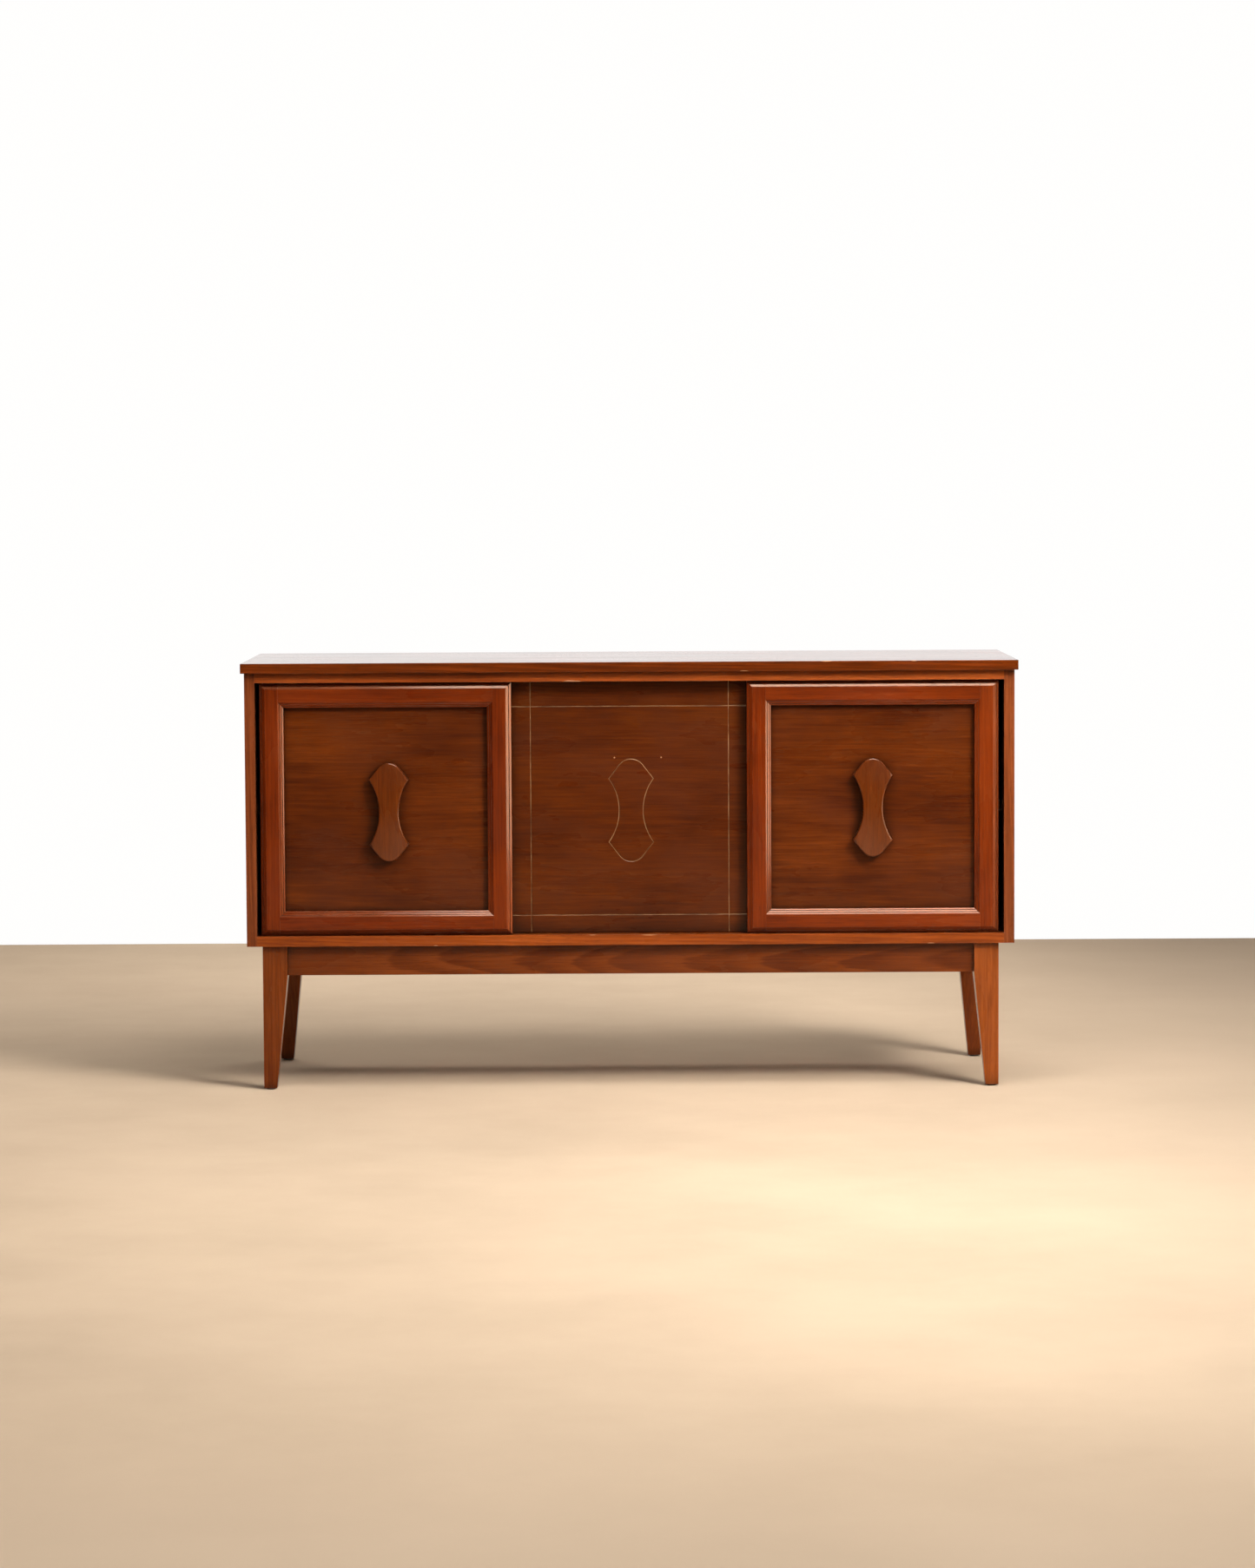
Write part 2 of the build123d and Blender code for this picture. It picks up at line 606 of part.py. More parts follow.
def make_centre_door():
    """Plain rear-track door with scored lines, guides and glides."""
    place = Pos(0, CENTRE_DOOR_Y, DOOR_Z)
    track = REAR_TRACK_Y - CENTRE_DOOR_Y
    guides = make_runners(track, DOOR_HEIGHT / 2, GUIDE_RISE)
    glides = make_runners(track, -DOOR_HEIGHT / 2, -GLIDE_DROP)
    panel = slab(DOOR_WIDTH, DOOR_HEIGHT, 0, CENTRE_DOOR_THICK)
    half_w = DOOR_WIDTH / 2
    half_h = DOOR_HEIGHT / 2
    lines = [score((x, -half_h), (x, half_h)) for x in SCORED_LINES_X]
    lines += [score((-half_w, z - DOOR_Z), (half_w, z - DOOR_Z)) for z in SCORED_LINES_Z]
    lines.append(Pos(SCORED_X, 0, SCORED_Z - DOOR_Z) * scored_bow())
    parts["door_centre_panel"] = place * cut_all(panel, lines + guides + glides)
    parts["door_centre_top_guides"] = place * compound(guides)
    parts["door_centre_bottom_glides"] = place * compound(glides)


make_front_door("door_left", LEFT_DOOR_X, -1, LEFT_PULL)
make_front_door("door_right", RIGHT_DOOR_X, 1, RIGHT_PULL)
make_centre_door()

os.makedirs("parts", exist_ok=True)
for node, shape in parts.items():
    export_step(shape, f"parts/{node}.step")
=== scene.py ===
import json
import math

import bpy
from mathutils import Euler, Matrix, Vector

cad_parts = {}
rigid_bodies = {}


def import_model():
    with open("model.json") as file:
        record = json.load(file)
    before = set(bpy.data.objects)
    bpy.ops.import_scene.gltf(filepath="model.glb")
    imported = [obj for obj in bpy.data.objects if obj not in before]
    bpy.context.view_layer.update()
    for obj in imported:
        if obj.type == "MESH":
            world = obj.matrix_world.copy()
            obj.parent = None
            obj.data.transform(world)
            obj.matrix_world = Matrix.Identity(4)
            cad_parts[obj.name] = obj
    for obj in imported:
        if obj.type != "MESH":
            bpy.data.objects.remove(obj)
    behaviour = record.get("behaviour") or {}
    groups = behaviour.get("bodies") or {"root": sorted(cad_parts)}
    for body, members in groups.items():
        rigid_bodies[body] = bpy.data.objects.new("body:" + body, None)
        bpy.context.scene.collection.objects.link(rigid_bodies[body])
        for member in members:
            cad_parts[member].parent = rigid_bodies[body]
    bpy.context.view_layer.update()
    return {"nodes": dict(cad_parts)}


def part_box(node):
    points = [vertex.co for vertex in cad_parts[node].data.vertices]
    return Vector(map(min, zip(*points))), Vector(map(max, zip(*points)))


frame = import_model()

# Mid-century sideboard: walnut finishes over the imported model, a pale floor, soft light.
# Metres; X runs along the front, the front faces -Y, Z is up.

NODES = frame["nodes"]

# Camera, from the picture's angle
CAMERA_PLACE = (-0.0084, -8.2144, 1.1387)
CAMERA_PITCH = math.radians(-4.12)
CAMERA_YAW = math.radians(0.03)
CAMERA_ROLL = math.radians(-0.31)
CAMERA_LENS = 100.45
SENSOR = 36.0
VIEW_REACH = 200.0

# Edge easing by modifier
BOARD_EASE = 0.0007
DOOR_EASE = 0.0003
EASE_SEGMENTS = 2
EASE_ANGLE = math.radians(35)
WELD_DISTANCE = 0.000001

# Lacquer: roughness under the coat, and weight of the coat
LACQUER_ROUGHNESS = 0.28
TOP_ROUGHNESS = 0.18
LACQUER_COAT = 0.22
POLISHED_COAT = 0.6
LACQUER = {"IOR": 1.48, "Specular IOR Level": 0.18, "Specular Tint": (1.0, 0.68, 0.40, 1.0)}
COAT_ROUGHNESS = 0.10

# Wear, with painted shade in corners and recesses and painted highlight along edges
EDGE_RADIUS = 0.0012
SHADE_AND_GRIME_REACH = 0.030
CHIPPED_WOOD = (0.48, 0.23, 0.11)
SCORED_WOOD = (0.26, 0.140, 0.062)
PIN_MARK_HEIGHT = 0.323

# Walnut tones, darkest to lightest, in linear colour
TONES = {
    "walnut_case": ((0.130, 0.022, 0.003), (0.225, 0.042, 0.004), (0.320, 0.068, 0.010)),
    # Lighter copy of the case tone: painted light on the rail under the top's overhang.
    "walnut_rail_lit": ((0.165, 0.030, 0.005), (0.290, 0.056, 0.008), (0.410, 0.090, 0.016)),
    "walnut_side": ((0.095, 0.020, 0.005), (0.165, 0.036, 0.009), (0.240, 0.058, 0.016)),
    "walnut_edge": ((0.050, 0.008, 0.001), (0.105, 0.017, 0.001), (0.175, 0.030, 0.004)),
    "walnut_frame": ((0.075, 0.008, 0.001), (0.137, 0.017, 0.001), (0.200, 0.029, 0.003)),
    "walnut_veneer": ((0.042, 0.006, 0.001), (0.078, 0.013, 0.001), (0.122, 0.023, 0.002)),
    "walnut_centre": ((0.040, 0.006, 0.001), (0.073, 0.012, 0.001), (0.110, 0.021, 0.001)),
    "walnut_pull": ((0.055, 0.009, 0.001), (0.090, 0.016, 0.001), (0.125, 0.024, 0.002)),
    # Lighter copy of the base tone: painted light where the key light falls on the front right leg.
    "walnut_leg": ((0.135, 0.026, 0.003), (0.212, 0.045, 0.006), (0.285, 0.067, 0.012)),
    "walnut_base": ((0.070, 0.010, 0.001), (0.128, 0.023, 0.002), (0.200, 0.043, 0.007)),
    "inner_wood": ((0.230, 0.100, 0.042), (0.340, 0.165, 0.072), (0.450, 0.240, 0.115)),
    "dowel_beech": ((0.420, 0.260, 0.130), (0.520, 0.340, 0.180), (0.600, 0.410, 0.230)),
}


# --- Shader building ---

class Graph:
    """Adds and links the nodes of one node tree."""

    def __init__(self, tree):
        self.tree = tree

    def feed(self, socket, value):
        """Links a socket to another, or sets its plain value."""
        if isinstance(value, bpy.types.NodeSocket):
            self.tree.links.new(value, socket)
        else:
            socket.default_value = value

    def add(self, kind, inputs=None, **settings):
        """A shader node with its settings and inputs."""
        node = self.tree.nodes.new("ShaderNode" + kind)
        for key, value in settings.items():
            setattr(node, key, value)
        for key, value in (inputs or {}).items():
            self.feed(node.inputs[key], value)
        return node

    def math(self, operation, first, second=0.0, third=0.0):
        """One arithmetic step."""
        return self.add("Math", {0: first, 1: second, 2: third}, operation=operation).outputs[0]

    def squares(self, first, second):
        """The sum of two squares."""
        return self.math("ADD", self.math("POWER", first, 2.0), self.math("POWER", second, 2.0))

    def vector(self, operation, first, second=(0, 0, 0)):
        """One vector step."""
        return self.add("VectorMath", {0: first, 1: second}, operation=operation).outputs[0]

    def noise(self, vector, stretch, detail=3.0, rough=0.5):
        """Noise from 0 to 1, with its frequency along each axis, per metre."""
        scaled = self.vector("MULTIPLY", vector, stretch)
        inputs = {"Vector": scaled, "Scale": 1.0, "Detail": detail, "Roughness": rough}
        return self.add("TexNoise", inputs).outputs[0]

    def span(self, value, low, high, out_low=0.0, out_high=1.0):
        """Value moved smoothly from one span to another, and held at its ends."""
        inputs = {0: value, 1: low, 2: high, 3: out_low, 4: out_high}
        return self.add("MapRange", inputs, interpolation_type="SMOOTHSTEP").outputs[0]

    def ramp(self, value, stops):
        """Colour ramp from (place, colour) pairs."""
        node = self.add("ValToRGB", {0: value})
        elements = node.color_ramp.elements
        while len(elements) < len(stops):
            elements.new(1.0)
        for element, (place, colour) in zip(elements, stops):
            element.position = place
            element.color = (*colour, 1.0)
        return node.outputs[0]

    def mix(self, factor, first, second, blend="MIX"):
        """Mixes two colours."""
        node = self.add("Mix", {0: factor}, data_type="RGBA", blend_type=blend)
        for socket, value in ((node.inputs[6], first), (node.inputs[7], second)):
            self.feed(socket, (*value, 1.0) if isinstance(value, tuple) else value)
        return node.outputs[2]


def shaded(colour, share, lift=0.0):
    """A plain colour made darker or lighter."""
    return tuple(min(1.0, share * part + lift) for part in colour)


def new_material(name):
    """An empty material and its graph."""
    material = bpy.data.materials.new(name)
    material.use_nodes = True
    material.node_tree.nodes.clear()
    return material, Graph(material.node_tree)


def finish_surface(graph, inputs, plain):
    """Ends a material with a principled shader; plain values are set on its own sockets."""
    shader = graph.add("BsdfPrincipled", {**inputs, **plain})
    graph.add("OutputMaterial", {"Surface": shader.outputs[0]})


def make_wood_group():
    """Shared wood figure. Its vector runs along the grain, across the face, into the wood."""
    group = bpy.data.node_groups.new("wood_figure", "ShaderNodeTree")
    sockets = ("Spacing", "Pith", "Centre", "Tilt", "Wander")
    group.interface.new_socket("Vector", in_out="INPUT", socket_type="NodeSocketVector")
    for name in sockets:
        group.interface.new_socket(name, in_out="INPUT", socket_type="NodeSocketFloat")
    for name in ("Rings", "Streaks", "Dashes", "Clouds", "Fibres", "Pores"):
        group.interface.new_socket(name, in_out="OUTPUT", socket_type="NodeSocketFloat")
    graph = Graph(group)
    given = group.nodes.new("NodeGroupInput").outputs
    place = given["Vector"]
    parted = graph.add("SeparateXYZ", {0: place}).outputs
    wander = graph.noise(place, (1.3, 5.0, 5.0), detail=2.0)
    wander = graph.math("MULTIPLY", graph.math("SUBTRACT", wander, 0.5), given["Wander"])
    leaning = graph.math("MULTIPLY", parted[0], given["Tilt"])
    across = graph.math("ADD", graph.math("SUBTRACT", parted[1], given["Centre"]), wander)
    depth = graph.math("ADD", graph.math("ADD", parted[2], given["Pith"]), leaning)
    depth = graph.math("ADD", depth, wander)
    radius = graph.math("SQRT", graph.squares(across, depth))
    phase = graph.math("DIVIDE", radius, given["Spacing"])
    years = graph.add("TexNoise", {"W": phase, "Scale": 0.35, "Detail": 1.0}, noise_dimensions="1D")
    phase = graph.math("ADD", phase, graph.math("MULTIPLY", years.outputs[0], 2.5))
    ragged = graph.noise(place, (5.0, 160.0, 160.0), detail=2.0)
    phase = graph.math("ADD", phase, graph.math("MULTIPLY", ragged, 0.35))
    ring = graph.math("FRACT", phase)
    rise = graph.span(ring, 0.0, 0.8)
    fall = graph.span(ring, 0.86, 1.0, 1.0, 0.0)
    out = {
        "Rings": graph.math("MULTIPLY", rise, fall),
        "Streaks": graph.noise(place, (5.0, 105.0, 105.0), detail=4.0, rough=0.6),
        "Dashes": graph.noise(place, (13.0, 300.0, 300.0), detail=3.0),
        "Clouds": graph.noise(place, (3.2, 8.5, 8.5), detail=4.0, rough=0.6),
        "Fibres": graph.noise(place, (14.0, 900.0, 900.0), detail=2.0),
        "Pores": graph.span(graph.noise(place, (55.0, 1500.0, 1500.0), detail=1.0), 0.60, 0.72),
    }
    result = group.nodes.new("NodeGroupOutput")
    for name, socket in out.items():
        graph.feed(result.inputs[name], socket)
    return group


WOOD_GROUP = make_wood_group()


def edge_mask(graph):
    """How much a place is on a sharp edge, from 0 to 1."""
    rounded = graph.add("Bevel", {"Radius": EDGE_RADIUS}, samples=4).outputs[0]
    flat = graph.add("NewGeometry").outputs["Normal"]
    compared = graph.add("VectorMath", {0: rounded, 1: flat}, operation="DOT_PRODUCT")
    return graph.span(graph.math("SUBTRACT", 1.0, compared.outputs["Value"]), 0.01, 0.22)


def spot_mask(graph, parted, front, spots):
    """Small marks on the XZ face at front: each spot is (x, z, half width, half height)."""
    total = 0.0
    for x, z, half_w, half_h in spots:
        off_x = graph.math("DIVIDE", graph.math("SUBTRACT", parted[0], x), half_w)
        off_z = graph.math("DIVIDE", graph.math("SUBTRACT", parted[2], z), half_h)
        mark = graph.span(graph.squares(off_x, off_z), 0.5, 1.3, 1.0, 0.0)
        total = graph.math("MAXIMUM", total, mark)
    on_face = graph.span(parted[1], front + 0.001, front + 0.002, 1.0, 0.0)
    return graph.math("MULTIPLY", total, on_face)


def cut_mask(graph, parted, front, patches):
    """The walls and floor of lines scored into the face at front, worn unevenly."""
    below = graph.span(parted[1], front + 0.0001, front + 0.0005)
    within = graph.span(parted[1], front + 0.0016, front + 0.0022, 1.0, 0.0)
    fading = graph.span(patches, 0.35, 0.65, 0.25, 0.90)
    return graph.math("MULTIPLY", graph.math("MULTIPLY", below, within), fading)


def wood_grain(graph, place, figure):
    """Outputs of the shared wood figure for one board."""
    spacing, pith, centre, tilt, wander = figure[:5]
    group = graph.tree.nodes.new("ShaderNodeGroup")
    group.node_tree = WOOD_GROUP
    values = {"Vector": place, "Spacing": spacing, "Pith": pith}
    values.update({"Centre": centre, "Tilt": tilt, "Wander": wander})
    for key, value in values.items():
        graph.feed(group.inputs[key], value)
    return group.outputs


def grain_colour(graph, grain, tones, shares):
    """Colour of clean wood from its rings, streaks, dashes, clouds, fibres and pores."""
    rings, streaks, clouds = shares
    level = 0.5 + 0.4 * rings - 0.75 * streaks - 0.5 * clouds
    tone = graph.math("MULTIPLY_ADD", grain["Rings"], -rings, level)
    tone = graph.math("MULTIPLY_ADD", grain["Streaks"], 0.6 * streaks, tone)
    tone = graph.math("MULTIPLY_ADD", grain["Dashes"], 0.9 * streaks, tone)
    tone = graph.math("MULTIPLY_ADD", grain["Clouds"], clouds, tone)
    colour = graph.ramp(tone, ((0.12, tones[0]), (0.5, tones[1]), (0.92, tones[2])))
    fibre = graph.span(grain["Fibres"], 0.25, 0.75, 0.86, 1.10)
    grey = graph.add("CombineColor", {0: fibre, 1: fibre, 2: fibre}).outputs[0]
    colour = graph.mix(1.0, colour, grey, "MULTIPLY")
    return graph.mix(graph.math("MULTIPLY", grain["Pores"], 0.45), colour, shaded(tones[0], 0.35))


def worn_and_shaded_colour(graph, colour, tones, place, patches, rubbed_and_highlit):
    """Colour with faded patches, worn lighter edges that are partly painted highlight, and dirt with
    painted shade darkening corners and recesses.
    """
    bloom = graph.span(graph.noise(place, (6.0, 9.0, 9.0), detail=3.0), 0.45, 0.72, 0.0, 0.35)
    colour = graph.mix(bloom, colour, shaded(tones[1], 0.9, 0.006))
    # Worn edges: lighter bare wood along sharp edges, partly wear and partly painted highlight.
    colour = graph.mix(rubbed_and_highlit, colour, shaded(tones[2], 1.65, 0.035))
    # Painted shade: ambient occlusion darkens the colour in corners, recesses and under overhangs, made
    # patchy like dirt.
    hollow = graph.add("AmbientOcclusion", {"Distance": SHADE_AND_GRIME_REACH}, samples=6).outputs["AO"]
    hollow = graph.math("MULTIPLY_ADD", patches, 0.10, graph.math("SUBTRACT", hollow, 0.05))
    shade_and_grime = graph.span(hollow, 0.34, 0.94, 0.82, 0.0)
    return graph.mix(shade_and_grime, colour, shaded(tones[0], 0.25))


def wood(name, tones, order, seed, figure, front, roughness, coat, spots, scored):
    """Wood with growth rings, streaks, pores, dirt and painted shade in corners and recesses, and worn
    edges that are partly painted highlight.

    order names the axes along the grain, across the face and into the wood. figure is
    (ring spacing, depth of the pith, its offset, lean, waviness) and the shares of rings,
    streaks and clouds in the colour. front is the Y of the front face, where spots are worn
    through and scored lines show bare wood.
    """
    material, graph = new_material(name)
    coords = graph.add("TexCoord").outputs["Object"]
    parted = graph.add("SeparateXYZ", {0: coords}).outputs
    axes = {i: parted["xyz".index(letter)] for i, letter in enumerate(order)}
    turned = graph.add("CombineXYZ", axes).outputs[0]
    place = graph.vector("ADD", turned, (1.37 * seed, 0.0, 0.0))
    patches = graph.noise(coords, (17.0, 17.0, 17.0), detail=4.0, rough=0.65)
    # Edge mask for the lighter edges: wear, and partly painted highlight.
    rubbed_and_highlit = graph.math("MULTIPLY", edge_mask(graph), graph.span(patches, 0.46, 0.70, 0.04, 0.70))
    grain = wood_grain(graph, place, figure)
    colour = grain_colour(graph, grain, tones, figure[5:])
    colour = worn_and_shaded_colour(graph, colour, tones, place, patches, rubbed_and_highlit)
    if spots:
        marks = spot_mask(graph, parted, front, spots)
        colour = graph.mix(graph.math("MULTIPLY", marks, 0.75), colour, CHIPPED_WOOD)
    if scored:
        colour = graph.mix(cut_mask(graph, parted, front, patches), colour, SCORED_WOOD)

    smears = graph.noise(place, (4.0, 14.0, 14.0), detail=4.0)
    rough = graph.span(smears, 0.2, 0.8, roughness - 0.03, roughness + 0.03)
    rough = graph.math("MULTIPLY_ADD", grain["Pores"], 0.08, rough)
    rough = graph.math("MULTIPLY_ADD", rubbed_and_highlit, 0.15, rough)
    height = graph.math("MULTIPLY", grain["Fibres"], 0.35)
    height = graph.math("MULTIPLY_ADD", grain["Pores"], -0.8, height)
    height = graph.math("MULTIPLY_ADD", grain["Clouds"], 0.5, height)
    bump = graph.add("Bump", {"Height": height, "Strength": 0.35, "Distance": 0.0004}).outputs[0]
    plain = {**LACQUER, "Coat Weight": coat, "Coat Roughness": COAT_ROUGHNESS}
    finish_surface(graph, {"Base Color": colour, "Roughness": rough, "Normal": bump}, plain)
    return material


def hardboard(name):
    """Bare brown hardboard with its felted fibre."""
    material, graph = new_material(name)
    coords = graph.add("TexCoord").outputs["Object"]
    felt = graph.noise(coords, (420.0, 420.0, 420.0), detail=5.0, rough=0.7)
    blotch = graph.noise(coords, (6.0, 6.0, 6.0), detail=4.0)
    tone = graph.math("MULTIPLY_ADD", felt, 0.6, graph.math("MULTIPLY", blotch, 0.5))
    dark, middle, light = (0.075, 0.036, 0.017), (0.130, 0.066, 0.032), (0.200, 0.110, 0.058)
    colour = graph.ramp(tone, ((0.3, dark), (0.55, middle), (0.8, light)))
    rough = graph.span(felt, 0.3, 0.7, 0.62, 0.85)
    bump = graph.add("Bump", {"Height": felt, "Strength": 0.4, "Distance": 0.0004}).outputs[0]
    finish_surface(graph, {"Base Color": colour, "Roughness": rough, "Normal": bump}, {"IOR": 1.45})
    return material


def metal(name, colour, dull):
    """Plain steel, dulled by handling."""
    material, graph = new_material(name)
    coords = graph.add("TexCoord").outputs["Object"]
    turned = graph.noise(coords, (900.0, 900.0, 2600.0), detail=3.0)
    stain = graph.noise(coords, (160.0, 160.0, 160.0), detail=4.0)
    shade = graph.mix(graph.span(stain, 0.45, 0.75), colour, shaded(colour, 0.45))
    rough = graph.span(turned, 0.3, 0.7, dull - 0.08, dull + 0.12)
    bump = graph.add("Bump", {"Height": turned, "Strength": 0.25, "Distance": 0.0001}).outputs[0]
    varied = {"Base Color": shade, "Roughness": rough, "Normal": bump}
    finish_surface(graph, varied, {"Metallic": 1.0})
    return material


def moulded(name, colour, rough_low, rough_high):
    """Moulded plastic with a faint orange-peel skin and scuffs."""
    material, graph = new_material(name)
    coords = graph.add("TexCoord").outputs["Object"]
    skin = graph.noise(coords, (700.0, 700.0, 700.0), detail=2.0)
    scuff = graph.noise(coords, (90.0, 90.0, 240.0), detail=5.0, rough=0.7)
    shade = graph.mix(graph.span(scuff, 0.5, 0.72), colour, shaded(colour, 0.75, 0.06))
    rough = graph.span(scuff, 0.3, 0.7, rough_low, rough_high)
    bump = graph.add("Bump", {"Height": skin, "Strength": 0.2, "Distance": 0.0001}).outputs[0]
    finish_surface(graph, {"Base Color": shade, "Roughness": rough, "Normal": bump}, {"IOR": 1.5})
    return material


# --- Which wood each board is ---

# Figure: ring spacing, pith depth, pith offset, lean, waviness; shares of rings, streaks, clouds
PLAIN_SAWN = (0.0075, 0.060, 0.010, 0.030, 0.030, 0.26, 0.75, 0.80)
STRAIGHT = (0.0060, 0.450, 0.300, 0.004, 0.020, 0.12, 0.85, 1.25)
SLICED = (0.0045, 0.800, 0.250, 0.006, 0.030, 0.10, 0.95, 1.55)
CATHEDRAL = (0.0065, 0.035, 0.238, 0.045, 0.050, 0.34, 0.60, 0.70)


def board_style(name):
    """Tone family, grain order and figure of a CAD node that is wood, or None.

    The front right leg gets a lighter copy of the leg tone, painted light for the key light that falls on
    it from the right.
    """
    door_piece = name.split("_", 2)[2] if name.startswith("door_") else ""
    if door_piece.startswith("stile"):
        return "walnut_frame", "zxy", STRAIGHT
    if door_piece.startswith("rail"):
        return "walnut_frame", "xzy", STRAIGHT
    if door_piece == "panel":
        return ("walnut_centre" if "centre" in name else "walnut_veneer"), "xzy", SLICED
    if door_piece == "pull":
        return "walnut_pull", "zxy", STRAIGHT
    # Painted light: this leg gets the lighter tone for the light falling on it.
    if name == "leg_front_right":
        return "walnut_leg", "zxy", STRAIGHT
    if name.startswith("leg_") and "glide" not in name:
        return "walnut_base", "zxy", STRAIGHT
    if name in ("apron_left", "apron_right"):
        return "walnut_base", "yzx", CATHEDRAL
    if name.startswith("apron_"):
        return "walnut_base", "xzy", CATHEDRAL
    if name.startswith("side_panel"):
        return "walnut_side", "zyx", PLAIN_SAWN
    # Painted light: the rail gets a lighter copy of the case tone.
    if name == "upper_track_rail":
        return "walnut_rail_lit", "xzy", STRAIGHT
    if name == "top_panel":
        return "walnut_edge", "xyz", PLAIN_SAWN
    if name == "bottom_panel":
        return "walnut_case", "xyz", PLAIN_SAWN
    if name.startswith("partition"):
        return "inner_wood", "zyx", PLAIN_SAWN
    if name.startswith("shelf_") and name != "shelf_pins":
        return "inner_wood", "xyz", PLAIN_SAWN
    if name == "upper_back_rail" or name.startswith("corner_block"):
        return "inner_wood", "xzy", STRAIGHT
    if name == "case_dowels":
        return "dowel_beech", "xyz", STRAIGHT
    return None


def wear_spots(name):
    """Chips and pin marks that show on a front face: (x, z, half width, half height)."""
    if name == "door_centre_panel":
        pin_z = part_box(name)[0].z + PIN_MARK_HEIGHT
        return ((-0.028, pin_z, 0.0014, 0.0014), (0.058, pin_z, 0.0014, 0.0014))
    if name == "upper_track_rail":
        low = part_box(name)[0].z
        return ((-0.108, low, 0.012, 0.0028), (-0.095, low, 0.006, 0.0020))
    if name == "top_panel":
        low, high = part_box(name)[0].z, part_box(name)[1].z
        upper = ((0.36, high, 0.010, 0.0016), (0.52, high, 0.005, 0.0014))
        return upper + ((0.21, low, 0.008, 0.0013),)
    if name == "bottom_panel":
        low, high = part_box(name)[0].z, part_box(name)[1].z
        upper = ((0.035, high, 0.014, 0.0018), (-0.07, high, 0.006, 0.0012))
        return upper + ((0.552, low, 0.007, 0.0012), (-0.358, low, 0.004, 0.0012))
    return ()


def dress(node, material, ease):
    """Gives a CAD node its finish, and eases its sharp edges."""
    node.data.materials.clear()
    node.data.materials.append(material)
    weld = node.modifiers.new("weld", "WELD")
    weld.merge_threshold = WELD_DISTANCE
    if ease:
        bevel = node.modifiers.new("ease", "BEVEL")
        bevel.width = ease
        bevel.segments = EASE_SEGMENTS
        bevel.limit_method = "ANGLE"
        bevel.angle_limit = EASE_ANGLE
        bevel.harden_normals = True


def dress_wood(name, seed):
    """Finishes a CAD node that is wood."""
    tones, order, figure = board_style(name)
    roughness = TOP_ROUGHNESS if name == "top_panel" else LACQUER_ROUGHNESS
    coat = POLISHED_COAT if name.endswith(("pull", "top_panel")) else LACQUER_COAT
    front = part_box(name)[0].y
    scored = name == "door_centre_panel"
    spots = wear_spots(name)
    material = wood(name, TONES[tones], order, seed, figure, front, roughness, coat, spots, scored)
    ease = DOOR_EASE if name.startswith("door_") else BOARD_EASE
    dress(NODES[name], material, 0.0 if name.endswith(("pull", "dowels")) else ease)


def dress_all():
    """Finishes every CAD node."""
    steel = metal("screw_steel", (0.50, 0.47, 0.40), 0.36)
    pins = metal("pin_steel", (0.58, 0.56, 0.50), 0.28)
    nylon = moulded("nylon", (0.010, 0.008, 0.006), 0.38, 0.55)
    dark = moulded("glide_plastic", (0.020, 0.016, 0.014), 0.30, 0.50)
    board = hardboard("hardboard")
    for seed, name in enumerate(sorted(NODES), start=1):
        if board_style(name):
            dress_wood(name, seed)
        elif name == "back_panel":
            dress(NODES[name], board, 0.0)
        elif name.startswith("leg_glide"):
            dress(NODES[name], dark, 0.0)
        elif name.endswith(("guides", "glides")):
            dress(NODES[name], nylon, 0.0)
        else:
            dress(NODES[name], pins if name == "shelf_pins" else steel, 0.0)


# --- Stage ---

FLOOR_REACH = 40.0
FAR_FLOOR_RISE = 0.0005
WALL_Y = 2.3
WALL_GLOW = 1.0
FAR_WALL_GLOW = 0.86

MIDDLE = (0.0, -0.2, 0.5)
WHITE = (1.0, 0.98, 0.96)
SURROUND_STRENGTH = 0.075

# Name, place, target, width and height, watts, colour, lights surfaces, is reflected
LIGHTS = (
    ("key", (2.2, -2.5, 2.7), MIDDLE, (1.4, 1.4), 238.0, (1.0, 0.97, 0.93), True, False),
    ("glint", (2.2, -2.5, 2.7), MIDDLE, (1.4, 1.4), 42.0, (1.0, 0.93, 0.84), False, True),
    ("overhead", (0.5, -0.95, 2.9), (0.3, -0.3, 0.6), (2.0, 0.8), 68.0, WHITE, True, True),
    ("sheen", (0.8, -3.3, 3.5), (0.2, -0.2, 0.7), (2.8, 1.1), 340.0, (1.0, 0.86, 0.72), False, True),
    ("side_sheen", (3.3, -3.4, 0.52), (0.2, -0.2, 0.5), (1.3, 1.0), 110.0, (1.0, 0.74, 0.50), False, True),
    ("fill", (-1.0, -4.6, 2.2), (0.0, -1.0, 0.2), (4.0, 3.0), 39.0, (1.0, 0.97, 0.94), True, False),
    ("rear", (-0.2, 1.6, 2.4), (-0.2, 1.5, 0.0), (3.0, 0.8), 54.0, WHITE, True, False),
)


def make_plane(name, corners, material):
    """A flat backdrop piece."""
    mesh = bpy.data.meshes.new(name)
    mesh.from_pydata(corners, [], [(0, 1, 2, 3)])
    plane = bpy.data.objects.new(name, mesh)
    plane.data.materials.append(material)
    bpy.context.scene.collection.objects.link(plane)
    return plane


def level_corners(z):
    """Corners of a level square as wide as the floor."""
    r = FLOOR_REACH
    return [(-r, -r, z), (r, -r, z), (r, r, z), (-r, r, z)]


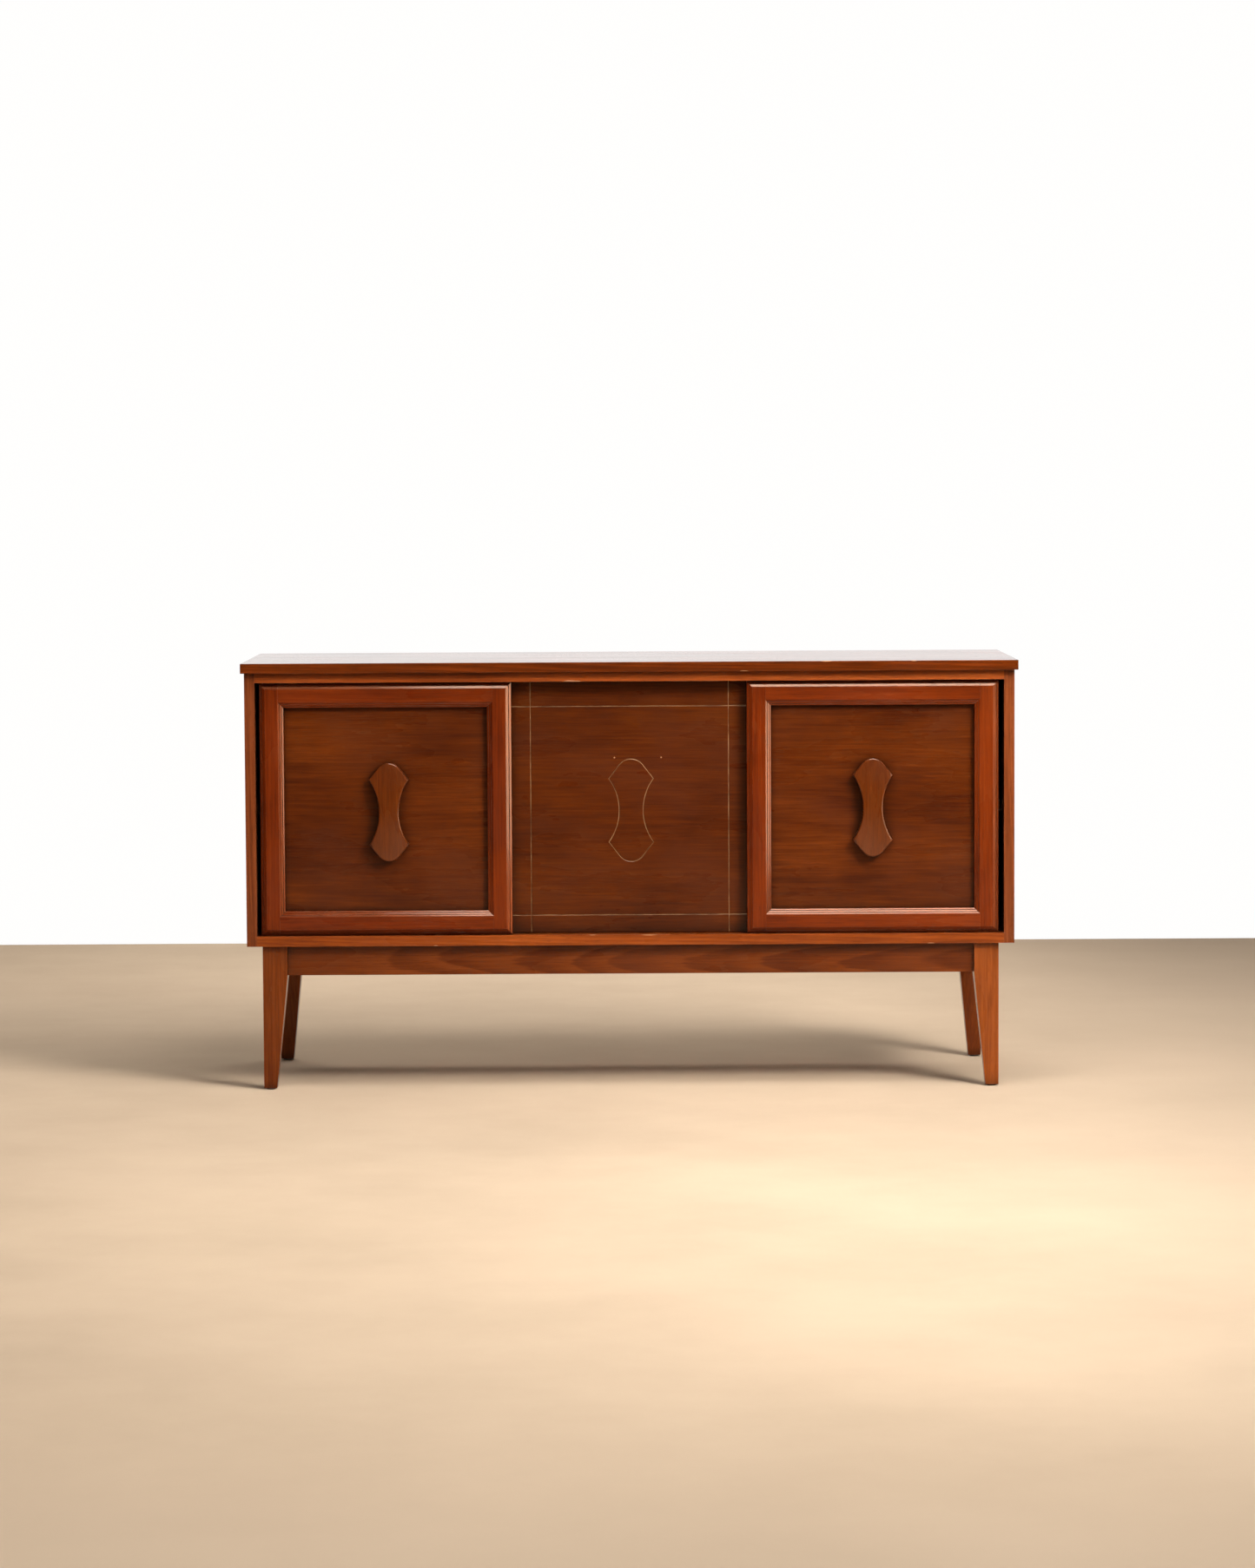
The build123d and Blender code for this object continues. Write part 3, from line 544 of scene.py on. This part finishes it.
def make_floor():
    """Pale warm floor, faintly mottled, with painted shade darker towards +X that evens out the key
    light's bright pool there.
    """
    material, graph = new_material("stage_floor")
    coords = graph.add("TexCoord").outputs["Object"]
    mottle = graph.noise(coords, (1.6, 1.6, 1.6), detail=6.0, rough=0.6)
    colour = graph.ramp(mottle, ((0.3, (0.463, 0.355, 0.252)), (0.7, (0.536, 0.413, 0.295))))
    across = graph.add("SeparateXYZ", {0: coords}).outputs[0]
    # Painted shade: the floor darkens towards +X, against the key light's pool on that side.
    floor_painted_shade = graph.span(across, 0.2, 1.5, 0.0, 0.72)
    colour = graph.mix(floor_painted_shade, colour, (0.25, 0.193, 0.142))
    finish_surface(graph, {"Base Color": colour}, {"Roughness": 0.62, "Specular IOR Level": 0.0})
    make_plane("stage_floor", level_corners(0.0), material)


def make_far_floor():
    """Keeps the floor pale far from the lights, where it fades over the lit floor."""
    material, graph = new_material("stage_far_floor")
    coords = graph.add("TexCoord").outputs["Object"]
    away = graph.add("VectorMath", {0: coords}, operation="LENGTH").outputs["Value"]
    mottle = graph.noise(coords, (0.5, 0.5, 0.5), detail=3.0)
    colour = graph.ramp(mottle, ((0.3, (0.66, 0.50, 0.35)), (0.7, (0.72, 0.55, 0.39))))
    glow = graph.add("Emission", {"Color": colour, "Strength": 1.0})
    clear = graph.add("BsdfTransparent")
    fade = graph.span(away, 2.8, 5.0)
    mixed = graph.add("MixShader", {0: fade, 1: clear.outputs[0], 2: glow.outputs[0]})
    graph.add("OutputMaterial", {"Surface": mixed.outputs[0]})
    plane = make_plane("stage_far_floor", level_corners(FAR_FLOOR_RISE), material)
    plane.visible_diffuse = False
    plane.visible_glossy = False
    plane.visible_shadow = False


def glowing(name, strength):
    """A white glow seen from the front of a face only."""
    material, graph = new_material(name)
    glow = graph.add("Emission", {"Color": (1.0, 0.995, 0.985, 1.0), "Strength": strength})
    clear = graph.add("BsdfTransparent")
    behind = graph.add("NewGeometry").outputs["Backfacing"]
    mixed = graph.add("MixShader", {0: behind, 1: glow.outputs[0], 2: clear.outputs[0]})
    graph.add("OutputMaterial", {"Surface": mixed.outputs[0]})
    return material


def make_walls():
    """White wall behind, and pale ones far around. Only the one behind shows in reflections."""
    near = glowing("stage_wall", WALL_GLOW)
    far = glowing("stage_far_walls", FAR_WALL_GLOW)
    r = FLOOR_REACH
    y = WALL_Y
    make_plane("stage_wall", [(-r, y, 0), (r, y, 0), (r, y, r), (-r, y, r)], near)
    sides = {
        "stage_left": [(-r, -r, 0), (-r, r, 0), (-r, r, r), (-r, -r, r)],
        "stage_right": [(r, r, 0), (r, -r, 0), (r, -r, r), (r, r, r)],
        "stage_front": [(r, -r, 0), (-r, -r, 0), (-r, -r, r), (r, -r, r)],
        "stage_ceiling": [(-r, -r, r), (-r, r, r), (r, r, r), (r, -r, r)],
    }
    for name, corners in sides.items():
        make_plane(name, corners, far).visible_glossy = False
    for name in ("stage_wall", *sides):
        bpy.data.objects[name].visible_diffuse = False
        bpy.data.objects[name].visible_shadow = False


def area_light(name, place, target, size, power, colour, wash, gleam):
    """Soft rectangular light; it lights surfaces if wash is set, and is reflected if gleam is."""
    light = bpy.data.lights.new(name, "AREA")
    light.shape = "RECTANGLE"
    light.size, light.size_y = size
    light.energy = power
    light.color = colour
    lamp = bpy.data.objects.new(name, light)
    lamp.location = place
    lamp.rotation_euler = (Vector(target) - Vector(place)).to_track_quat("-Z", "Y").to_euler()
    lamp.visible_camera = False
    lamp.visible_diffuse = wash
    lamp.visible_glossy = gleam
    bpy.context.scene.collection.objects.link(lamp)


def make_lights():
    """The lights, some of them seen only in reflections, and a dim even surround."""
    for row in LIGHTS:
        area_light(*row)
    world = bpy.data.worlds.new("surround")
    world.use_nodes = True
    background = world.node_tree.nodes["Background"]
    background.inputs["Color"].default_value = (1.0, 0.985, 0.96, 1.0)
    background.inputs["Strength"].default_value = SURROUND_STRENGTH
    bpy.context.scene.world = world


def make_camera():
    """Camera at the picture's place; its sensor width is the frame's long side."""
    data = bpy.data.cameras.new("camera")
    data.lens = CAMERA_LENS
    data.sensor_width = SENSOR
    data.clip_end = VIEW_REACH
    camera = bpy.data.objects.new("camera", data)
    level = Euler((math.radians(90) + CAMERA_PITCH, 0.0, -CAMERA_YAW)).to_matrix()
    roll = Euler((0.0, 0.0, CAMERA_ROLL)).to_matrix()
    camera.rotation_euler = (level @ roll).to_euler()
    camera.location = CAMERA_PLACE
    bpy.context.scene.collection.objects.link(camera)
    bpy.context.scene.camera = camera


bpy.context.scene.view_settings.view_transform = "Standard"
dress_all()
make_floor()
make_far_floor()
make_walls()
make_lights()
make_camera()
